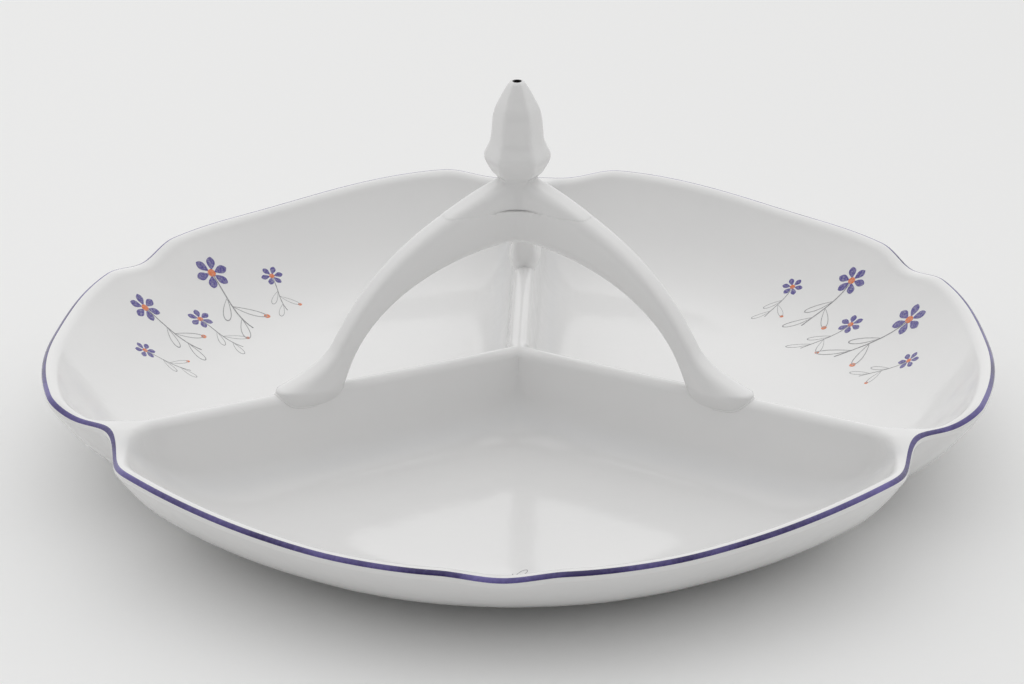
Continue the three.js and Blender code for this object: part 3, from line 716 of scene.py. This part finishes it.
def arm_point(share, angle):
    turn = share * math.pi / 2
    arch = CROWN_UNDERSIDE - FOOT_BOTTOM
    low_x, low_z = ARCH_HALF_SPAN * np.sin(turn), FOOT_BOTTOM + arch * np.cos(turn)
    normal_x, normal_z = arch * np.sin(turn), ARCH_HALF_SPAN * np.cos(turn)
    length = np.hypot(normal_x, normal_z)
    taper = np.maximum(0, 1 - turn / WAIST_TURN) ** TAPER_CURVE
    flare = np.clip(1 - (low_z - FOOT_TOP - TOE_EDGE) / (FLARE_HEIGHT - TOE_EDGE), 0, 1) ** FLARE_CURVE
    lip = np.clip((FOOT_TOP - low_z) / FOOT_LIP, 0, 1) ** TAPER_CURVE
    thickness = mixed(WAIST_THICKNESS, CROWN_THICKNESS, taper)
    half_x = (normal_x / length * thickness + TOE_LENGTH * flare) / 2
    half_z = normal_z / length * thickness / 2
    width = mixed(mixed(WAIST_HALF_WIDTH, CROWN_HALF_WIDTH, taper), SADDLE_HALF_WIDTH, flare)
    width = mixed(width, LIP_HALF_WIDTH, lip)
    middle_x, middle_z = low_x + half_x, low_z + half_z
    side_along, side_across = side_reach(middle_x, width)
    squareness = mixed(ARM_SQUARENESS, FOOT_SQUARENESS, flare)
    level = squared(np.cos(angle), squareness)
    side = squared(np.sin(angle), squareness)
    along = middle_x + half_x * level + side_along * side
    return np.stack([along, side_across * side, middle_z + half_z * level], axis=-1)


def side_reach(radius, width):
    centre = (width + CROWN_FILLET) / SIN_HALF
    along, across = radius - centre * COS_HALF, -centre * SIN_HALF
    reach = 1 - CROWN_FILLET / np.hypot(along, across)
    straight = along >= 0
    return np.where(straight, 0, -along * reach), np.where(straight, width, -across * reach)


def ridge_height(along, across):
    top = divider_top(along)
    return top - divider_drop(np.abs(across), top - FLOOR_TOP)


print("feet end at", round(FOOT_BOTTOM, 2), "mm")

# %% Handle
FOOT_START = 0.82
ARM_STEPS, FOOT_STEPS, HALF_SIDES, SADDLE_STEPS = 132, 30, 36, 5
ARM_ANGLES = np.linspace(0, math.pi, HALF_SIDES + 1)

above_foot = np.linspace(0, FOOT_START, ARM_STEPS, endpoint=False)
ARM_SHARES = np.concatenate([above_foot, np.linspace(FOOT_START, 1, FOOT_STEPS)])


def foot_ends():
    inside = np.full(len(ARM_ANGLES), FOOT_START)
    outside = np.ones(len(ARM_ANGLES))
    for _ in range(BISECTIONS):
        share = (inside + outside) / 2
        point = arm_point(share, ARM_ANGLES)
        above = point[:, 2] > ridge_height(point[:, 0], point[:, 1])
        inside = np.where(above, share, inside)
        outside = np.where(above, outside, share)
    return inside


def spun(points, degrees):
    turn = math.radians(degrees)
    c, s = math.cos(turn), math.sin(turn)
    return points @ np.array([[c, s, 0], [-s, c, 0], [0, 0, 1]])


def half_arm():
    ends = foot_ends()
    foot = np.maximum(0, ARM_SHARES - FOOT_START)[:, None] / (1 - FOOT_START)
    shares = np.minimum(ARM_SHARES, FOOT_START)[:, None] + foot * (ends - FOOT_START)
    return arm_point(shares, ARM_ANGLES[None])


def saddle(edge):
    across = edge[None, :, 1] * np.linspace(1, 0, SADDLE_STEPS + 1)[1:, None]
    along = np.broadcast_to(edge[None, :, 0], across.shape)
    return np.stack([along, across, ridge_height(along, across)], axis=-1)


def arm_turn(arm):
    return HALF_SECTOR - 90 + 2 * HALF_SECTOR * arm


def handle_third():
    arm = half_arm()
    rows = np.concatenate([arm, saddle(arm[-1])])[::-1]
    rows[..., 2] = np.minimum(rows[..., 2], SEAT_HEIGHT)
    mirrored = rows[::-1] * np.array([1, -1, 1])
    strip = np.concatenate([spun(rows, arm_turn(0)), spun(mirrored, arm_turn(1))[1:]])
    return plain_mesh("handle_third", strip.reshape(-1, 3), grid_quads(*strip.shape[:2]))


handle = threefold("handle", handle_third(), glaze)
kept(handle, "porcelain", "handle")

# %% [markdown]
# ## Luted feet
# Before firing, each foot is stuck to its divider with slip, a cream of clay and water. A little of it is
# pressed out and smoothed with a brush, and leaves a fine bead in the crease round the toe that thins out
# towards the heel. The bead follows a path, so a second tree sweeps a round section along it.

# %% Slip beads
BEAD_RADIUS = 0.32 * MM
BEAD_SIDES = 10
BEAD_END = 0.1
BEAD_SHARE = 0.55


def bead_tree():
    kinds = {"Path": "Geometry", "Radius": "Float", "Sides": "Int", "Finish": "Material"}
    tree, given = geometry_tree("slip_bead", **kinds)
    curve = add_node(tree, "GeometryNodeMeshToCurve", Mesh=given["Path"])
    share = add_node(tree, "GeometryNodeSplineParameter").outputs["Factor"]
    swell = calculated(tree, "SINE", calculated(tree, "MULTIPLY", share, math.pi))
    fine = calculated(tree, "MAXIMUM", swell, BEAD_END)
    tapered = add_node(tree, "GeometryNodeSetCurveRadius", Curve=curve.outputs[0], Radius=fine)
    section = add_node(tree, "GeometryNodeCurvePrimitiveCircle", Resolution=given["Sides"])
    tree.links.new(given["Radius"], section.inputs["Radius"])
    bead = add_node(tree, "GeometryNodeCurveToMesh", Curve=tapered.outputs[0])
    tree.links.new(section.outputs[0], bead.inputs["Profile Curve"])
    bead.inputs["Fill Caps"].default_value = True
    whole = add_node(tree, "GeometryNodeRealizeInstances", Geometry=bead.outputs[0])
    smooth = add_node(tree, "GeometryNodeSetShadeSmooth", Geometry=whole.outputs[0])
    in_material(tree, smooth.outputs[0], given["Finish"])
    return tree


BEAD = bead_tree()
edge = half_arm()[-1][: round(BEAD_SHARE * len(ARM_ANGLES))]
crease = np.concatenate([edge[:0:-1] * np.array([1, -1, 1]), edge])
edges = [(j, j + 1) for j in range(len(crease) - 1)]
for arm in range(COMPARTMENTS):
    path = bpy.data.meshes.new("crease")
    path.from_pydata((spun(crease, arm_turn(arm)) * MM).tolist(), edges, [])
    name = f"foot_lute_{arm + 1}"
    bead = grown(f"{name}_bead", path, BEAD, Radius=BEAD_RADIUS, Sides=BEAD_SIDES, Finish=glaze)
    kept(bead, "porcelain", name)

# %% [markdown]
# ## The finial
# The finial is a hollow bud with six soft facets. Its outline is a spline through a few stations. It swells
# from a neck to a bell and closes to a tip with a small vent, which lets air out in the kiln. A power sum
# over the six facet directions gives a hexagon with rounded corners. The skirt has a blunt tongue over each
# arm. It starts flush with the arm, whose own sections give its outline, and carries the arm's top on up to
# the neck. Another power sum joins the tongues to the hexagon with soft creases.

# %% Finial
FINIAL_BASE = 82.6
SKIRT_REACH, SKIRT_HEIGHT, SKIRT_CURVE = 17.4, 8.6, 0.8
SKIRT_HALF_WIDTH, SKIRT_SQUARENESS, SKIRT_DRAW = 5.0, 4, 0.3
SKIRT_TAPER, SKIRT_TAPER_CURVE = 0.5, 3
CREASE_SHARPNESS = 14
FACET_SHARPNESS = 14
FINIAL_WALL, VENT_RADIUS = 3.0, 1.3
FINIAL_STEPS, FINIAL_COLUMNS = 90, 121
FINIAL_ANGLES = np.radians(np.linspace(-HALF_SECTOR, HALF_SECTOR, FINIAL_COLUMNS))
TO_ARM = math.radians(HALF_SECTOR) - np.abs(FINIAL_ANGLES)
FLUSH_ANGLE, FADED_ANGLE, FADED_SHARE = 22, 50, 0.5
FLUSH_HEIGHT, FADED_HEIGHT = 1.0, 9.0
FLUSH_FADE = np.interp(np.degrees(TO_ARM), (FLUSH_ANGLE, FADED_ANGLE), (1, FADED_SHARE))
TOP_SHARE, TOP_ROWS, TOP_LINES = 0.6, 200, 61
ARM_TOP = arm_point(np.linspace(0, TOP_SHARE, TOP_ROWS), np.linspace(0, math.pi / 2, TOP_LINES)[:, None])
HOLLOW_FADE = 3
OUTLINE = np.array(
    [(7.4, 0), (6.5, 3.9), (5.6, 7.8), (7.5, 10.5), (9.4, 15.4)]
    + [(7.6, 20.6), (6.7, 29.2), (4.7, 34.3), (2.6, 38.4), (1.6, 39.4)]
)


def spline(points, count):
    last = len(points) - 1
    place = np.linspace(0, last, count)
    index = np.minimum(place.astype(int), last - 1)
    t = (place - index)[:, None]
    p0, p1 = points[np.maximum(index - 1, 0)], points[index]
    p2, p3 = points[index + 1], points[np.minimum(index + 2, last)]
    v0, v1 = (p2 - p0) / 2, (p3 - p1) / 2
    return (2 * p1 - 2 * p2 + v0 + v1) * t**3 + (3 * p2 - 3 * p1 - 2 * v0 - v1) * t**2 + v0 * t + p1


def facet_radius(angle):
    faces = np.arange(2 * COMPARTMENTS) * math.pi / COMPARTMENTS
    towards = np.maximum(0, np.cos(np.asarray(angle)[..., None] - faces)) ** FACET_SHARPNESS
    return towards.sum(axis=-1) ** (-1 / FACET_SHARPNESS)


def tongue_radius(apothem, height):
    rise = min(height / SKIRT_HEIGHT, 1)
    tip = apothem * (1 - SKIRT_DRAW * rise) + SKIRT_REACH * (1 - rise) ** SKIRT_CURVE
    half_width = SKIRT_HALF_WIDTH * (1 - SKIRT_TAPER * rise**SKIRT_TAPER_CURVE)
    along, across = np.cos(TO_ARM) / tip, np.sin(TO_ARM) / half_width
    return (along**SKIRT_SQUARENESS + across**SKIRT_SQUARENESS) ** (-1 / SKIRT_SQUARENESS)


def arm_radius(height):
    depth = -FINIAL_BASE - height
    along = np.array([np.interp(depth, -line[:, 2], line[:, 0]) for line in ARM_TOP])
    across = np.array([np.interp(depth, -line[:, 2], line[:, 1]) for line in ARM_TOP])
    reach = np.interp(TO_ARM, np.arctan2(across, along), np.hypot(along, across))
    return reach * FLUSH_FADE * np.interp(height, (FLUSH_HEIGHT, FADED_HEIGHT), (1, 0))


def finial_row(apothem, height, inset=0.0):
    bud = apothem * facet_radius(FINIAL_ANGLES)
    tongue = np.maximum(tongue_radius(apothem, height), arm_radius(height))
    joined = (bud**CREASE_SHARPNESS + tongue**CREASE_SHARPNESS) ** (1 / CREASE_SHARPNESS)
    reach = joined - inset * (bud / joined) ** HOLLOW_FADE
    z = np.full(len(FINIAL_ANGLES), FINIAL_BASE + height)
    return to_front(reach * np.cos(FINIAL_ANGLES), reach * np.sin(FINIAL_ANGLES), z)


def bore_row(apothem, height):
    radius = max(VENT_RADIUS, apothem - FINIAL_WALL)
    z = np.full(len(FINIAL_ANGLES), FINIAL_BASE + height)
    return to_front(radius * np.cos(FINIAL_ANGLES), radius * np.sin(FINIAL_ANGLES), z)


def ringed_third(name, rows, bare):
    rows = np.array([*rows, rows[0]])
    marks = np.repeat([*bare, bare[0]], rows.shape[1])
    return plain_mesh(name, rows.reshape(-1, 3), grid_quads(*rows.shape[:2]), bare=marks)


outline = spline(OUTLINE, FINIAL_STEPS)
rows = [finial_row(*station) for station in outline] + [bore_row(*station) for station in outline[::-1]]
# The bore rows get the painted shade, so the inside of the hollow finial is near black.
bare = [0] * FINIAL_STEPS + [1] * FINIAL_STEPS
finial_mesh = ringed_third("finial_third", rows, bare)
finial = threefold("finial", finial_mesh, glaze)
kept(finial, "porcelain", "finial")

# %% [markdown]
# ## The joint under the finial
# The finial is stuck to the crown with a thin bed of slip. The bed shrinks more than the clay, so a fine
# hollow line shows under each facet of the skirt, and the potter's brush has smoothed it away over the arms.
# The bed has the finial's outline, with an edge that is hollow between the arms.

# %% Finial joint
LUTE_THICKNESS = 0.5
JOINT_HOLLOWS = ((-0.5, 0.2), (-0.4, 0.7), (-0.1, 0.7), (0.0, 0.2))

base_apothem = OUTLINE[0, 0]
rows = [finial_row(base_apothem, height, inset) for height, inset in JOINT_HOLLOWS]
rows += [bore_row(base_apothem, 0.0), bore_row(base_apothem, -LUTE_THICKNESS)]
joint_mesh = ringed_third("joint_third", rows, [0] * len(rows))
joint = threefold("finial_joint", joint_mesh, glaze)
kept(joint, "porcelain", "finial_lute")

# %% [markdown]
# ## Printed flowers
# Tableware like this is often printed with a scatter of small flowers. The prints are transfers: colours on a
# film that floats off in water and is smoothed onto the glaze. In a last firing the film burns away and the
# colours fuse. Here they are drawn flat, as thin closed plates between a left and a right edge.

# %% Printed plates
PRINT_TOP, PRINT_SINK = 0.05, 0.05


def plate(name, left, right, closed=False):
    count = len(left)
    flat = np.concatenate([left, right])
    heights = np.repeat([PRINT_TOP, -PRINT_SINK], 2 * count)
    points = np.column_stack([np.concatenate([flat, flat]), heights])
    faces = []
    for i in range(count if closed else count - 1):
        j = (i + 1) % count
        faces.append((count + i, count + j, j, i))
        faces.append((2 * count + i, 2 * count + j, 3 * count + j, 3 * count + i))
        faces.append((i, j, 2 * count + j, 2 * count + i))
        faces.append((count + j, count + i, 3 * count + i, 3 * count + j))
    if not closed:
        last = count - 1
        faces.append((0, 2 * count, 3 * count, count))
        faces.append((count + last, 3 * count + last, 2 * count + last, last))
    motif = bpy.data.objects.new(name, plain_mesh(name, points, faces))
    scene.collection.objects.link(motif)
    return motif


def both_sides(along, middle, half_width):
    return np.column_stack([along, middle + half_width]), np.column_stack([along, middle - half_width])


print("plates", round(PRINT_TOP + PRINT_SINK, 2), "mm thick")

# %% [markdown]
# ## Petal, centre, stem and leaf
# Four motifs make every flower. A petal is widest past its middle, a centre is a small disc, a stem is a
# bent pen line, and a leaf is only its outline, which narrows to the stalk. The layout is mirrored on its way
# into the front compartment, so the stem is drawn bent to its other side.

# %% Motifs
PETAL_LENGTH, PETAL_WIDTH, PETAL_FULLNESS, PETAL_SHIFT = 3.3, 2.0, 0.7, 1.4
CENTRE_RADIUS = 0.95
LEAF_LENGTH, LEAF_WIDTH = 7.5, 2.4
STEM_LENGTH, STEM_BEND = 17.0, 2.6
PEN_WIDTH = 0.24
LEAF_INSET = np.array([2.4, 1.6]) * PEN_WIDTH
BLUNT_PETAL, BLUNT_DISC = 0.04, 0.08
EDGE_POINTS, LEAF_POINTS = 13, 36

share = np.linspace(0, 1, EDGE_POINTS)
swell = np.maximum(np.sin(math.pi * share**PETAL_SHIFT) ** PETAL_FULLNESS, BLUNT_PETAL)
petal = plate("petal", *both_sides(PETAL_LENGTH * share, 0, PETAL_WIDTH / 2 * swell))
disc = np.maximum(np.sin(math.pi * share), BLUNT_DISC)
centre = plate("centre", *both_sides(-CENTRE_RADIUS * np.cos(math.pi * share), 0, CENTRE_RADIUS * disc))
bend = STEM_BEND * np.sin(math.pi / 2 * share) ** 2
stem = plate("stem", *both_sides(STEM_LENGTH * share, -bend, PEN_WIDTH / 2))
turns = np.linspace(0, math.tau, LEAF_POINTS, endpoint=False)
lens = np.column_stack([(1 - np.cos(turns)) / 2, np.sin(turns) * np.sin(turns / 2) / 2])
outer = np.array([LEAF_LENGTH, LEAF_WIDTH])
inside = lens * (outer - LEAF_INSET) + np.array([LEAF_INSET[0] / 2, 0])
leaf = plate("leaf", inside[::-1], (lens * outer)[::-1], closed=True)
print("motifs", [motif.name for motif in (petal, centre, stem, leaf)])

# %% [markdown]
# ## Layout of the flowers
# Each compartment has the same five flowers, large and small by turns, on the slope towards its rim. A flower
# has petals round its centre, a bent stem that runs down the slope, leaves along it and a berry on a leaf's
# tip. Places are given flat, across the compartment and up the slope, with a turn and a size.

# %% Flower places
FLOWERS = ((-38, 4, 24, 1.0), (-20, 17, 10, 1.6), (0, 5, -4, 1.1), (16, 18, -14, 1.4), (33, 4, -28, 0.95))
PETALS = 6
PETAL_START = 0.75
LEAVES = ((0.4, 40), (0.55, -38), (0.78, 34))
BERRY_LEAF, BERRY_SIZE = 1, 0.7


def layout(parts):
    places, turns, sizes = [], [], []
    for across, up, turn, size in FLOWERS:
        tilt = math.radians(turn)
        axes = np.array([[math.cos(tilt), math.sin(tilt)], [-math.sin(tilt), math.cos(tilt)]])
        for x, y, part_turn, part_size in parts:
            places.append(np.array([across, up]) + size * (np.array([x, y]) @ axes))
            turns.append(tilt + part_turn)
            sizes.append(size * part_size)
    return np.column_stack([places, np.zeros(len(places))]), turns, sizes


def round_centre(angle):
    return PETAL_START * math.cos(angle), PETAL_START * math.sin(angle), angle, 1.0


def on_stem(share, degrees):
    bent = STEM_BEND * math.sin(math.pi / 2 * share) ** 2
    return bent, -STEM_LENGTH * share, math.radians(degrees) - math.pi / 2, 1.0


petal_parts = [round_centre(math.tau * k / PETALS) for k in range(PETALS)]
stem_parts = [on_stem(0, 0)]
leaf_parts = [on_stem(share, degrees) for share, degrees in LEAVES]
berry_x, berry_y, berry_turn, _ = leaf_parts[BERRY_LEAF]
berry_x += LEAF_LENGTH * math.cos(berry_turn)
berry_y += LEAF_LENGTH * math.sin(berry_turn)
centre_parts = [(0, 0, 0, 1.0), (berry_x, berry_y, 0, BERRY_SIZE)]
print(len(FLOWERS), "flowers in each compartment")

# %% [markdown]
# ## Laying the transfers on the glaze
# A third tree sets the plates on their places, tips the flat layout to the slope of the wall and shines a ray
# from each of its points onto the dish. The point lands where the ray does, and stands off the glaze by its
# own small height. Then the turned copies put the same print into all three compartments.

# %% Printed tree
PRINT_MIDDLE, PRINT_RISE, PRINT_SLOPE = 105.0, 40.0, math.radians(-30)


def named(tree, name):
    return add_node(tree, "GeometryNodeInputNamedAttribute", {"data_type": "FLOAT"}, Name=name).outputs[0]


def printed_tree():
    kinds = {"Places": "Geometry", "Motif": "Object", "Ground": "Object", "Slope": "Float"}
    tree, given = geometry_tree("printed", **kinds, Finish="Material")
    euler = add_node(tree, "ShaderNodeCombineXYZ", Z=named(tree, "turn"))
    turned = add_node(tree, "FunctionNodeEulerToRotation", Euler=euler.outputs[0])
    motif = add_node(tree, "GeometryNodeObjectInfo", Object=given["Motif"]).outputs["Geometry"]
    ground = add_node(tree, "GeometryNodeObjectInfo", Object=given["Ground"]).outputs["Geometry"]
    set_out = add_node(
        tree,
        "GeometryNodeInstanceOnPoints",
        Points=given["Places"],
        Instance=motif,
        Rotation=turned.outputs[0],
        Scale=named(tree, "size"),
    )
    flat = add_node(tree, "GeometryNodeRealizeInstances", Geometry=set_out.outputs[0])
    position = add_node(tree, "GeometryNodeInputPosition").outputs[0]
    height = add_node(tree, "ShaderNodeSeparateXYZ", Vector=position).outputs["Z"]
    noted = add_node(tree, "GeometryNodeStoreNamedAttribute", Name="stand_off", Value=height)
    tree.links.new(flat.outputs[0], noted.inputs["Geometry"])
    lean = add_node(tree, "ShaderNodeCombineXYZ", X=given["Slope"])
    tipped = add_node(tree, "GeometryNodeTransform", Geometry=noted.outputs[0], Rotation=lean.outputs[0])
    tipped.inputs["Translation"].default_value = (0, -PRINT_MIDDLE * MM, PRINT_RISE * MM)
    ray = add_node(tree, "ShaderNodeVectorRotate", {"rotation_type": "X_AXIS"}, Angle=given["Slope"])
    ray.inputs["Vector"].default_value = (0, 0, -1)
    landed = add_node(tree, "GeometryNodeRaycast", Target_Geometry=ground, Ray_Direction=ray.outputs[0])
    hit, upright = landed.outputs["Hit Position"], landed.outputs["Hit Normal"]
    stand_off = named(tree, "stand_off")
    lift = add_node(tree, "ShaderNodeVectorMath", {"operation": "SCALE"}, _0=upright, Scale=stand_off)
    spot = add_node(tree, "ShaderNodeVectorMath", {"operation": "ADD"}, _0=hit, _1=lift.outputs[0])
    laid = add_node(tree, "GeometryNodeSetPosition", Geometry=tipped.outputs[0], Position=spot.outputs[0])
    in_material(tree, laid.outputs[0], given["Finish"])
    return tree


PRINTED = printed_tree()
print("prints lean", round(math.degrees(-PRINT_SLOPE)), "degrees")

# %% [markdown]
# ## Print colours
# The petals have the colour of the line, the centres are orange and the stems and leaves are a fine grey pen
# line. Print colours are thin, so fine noise lets a little of the white through.

# %% Printed pieces
PRINTS = {
    "print_petals": (petal, petal_parts, (0.075, 0.055, 0.27, 1)),
    "print_centres": (centre, centre_parts, (0.72, 0.16, 0.025, 1)),
    "print_stems": (stem, stem_parts, (0.24, 0.24, 0.25, 1)),
    "print_leaves": (leaf, leaf_parts, (0.3, 0.3, 0.31, 1)),
}
DOT_SCALE, DOT_DETAIL, DOT_START, DOT_END, DOT_SHARE = 1400.0, 2.0, 0.4, 0.75, 0.3
PRINT_ROUGHNESS = 0.2


def print_colour(name, colour):
    material, tree, shader = new_material(name)
    dots = noise(tree, object_place(tree), DOT_SCALE, DOT_DETAIL)
    thin = ranged(tree, dots, DOT_START, DOT_END, high=DOT_SHARE)
    tree.links.new(colour_mix(tree, thin, colour, PORCELAIN), shader.inputs["Base Color"])
    shader.inputs["Roughness"].default_value = PRINT_ROUGHNESS
    return material


for name, (motif, parts, colour) in PRINTS.items():
    places, turns, sizes = layout(parts)
    mirrored = places * np.array([1, -1, 1])
    spots = plain_mesh("places", mirrored, [], turn=-np.array(turns), size=sizes)
    ink = print_colour(name, colour)
    third = shaped(spots, PRINTED, Motif=motif, Ground=dish, Slope=PRINT_SLOPE, Finish=ink)
    piece = threefold(name, third, ink)
    bpy.data.objects.remove(motif)
    kept(piece, "enamel")
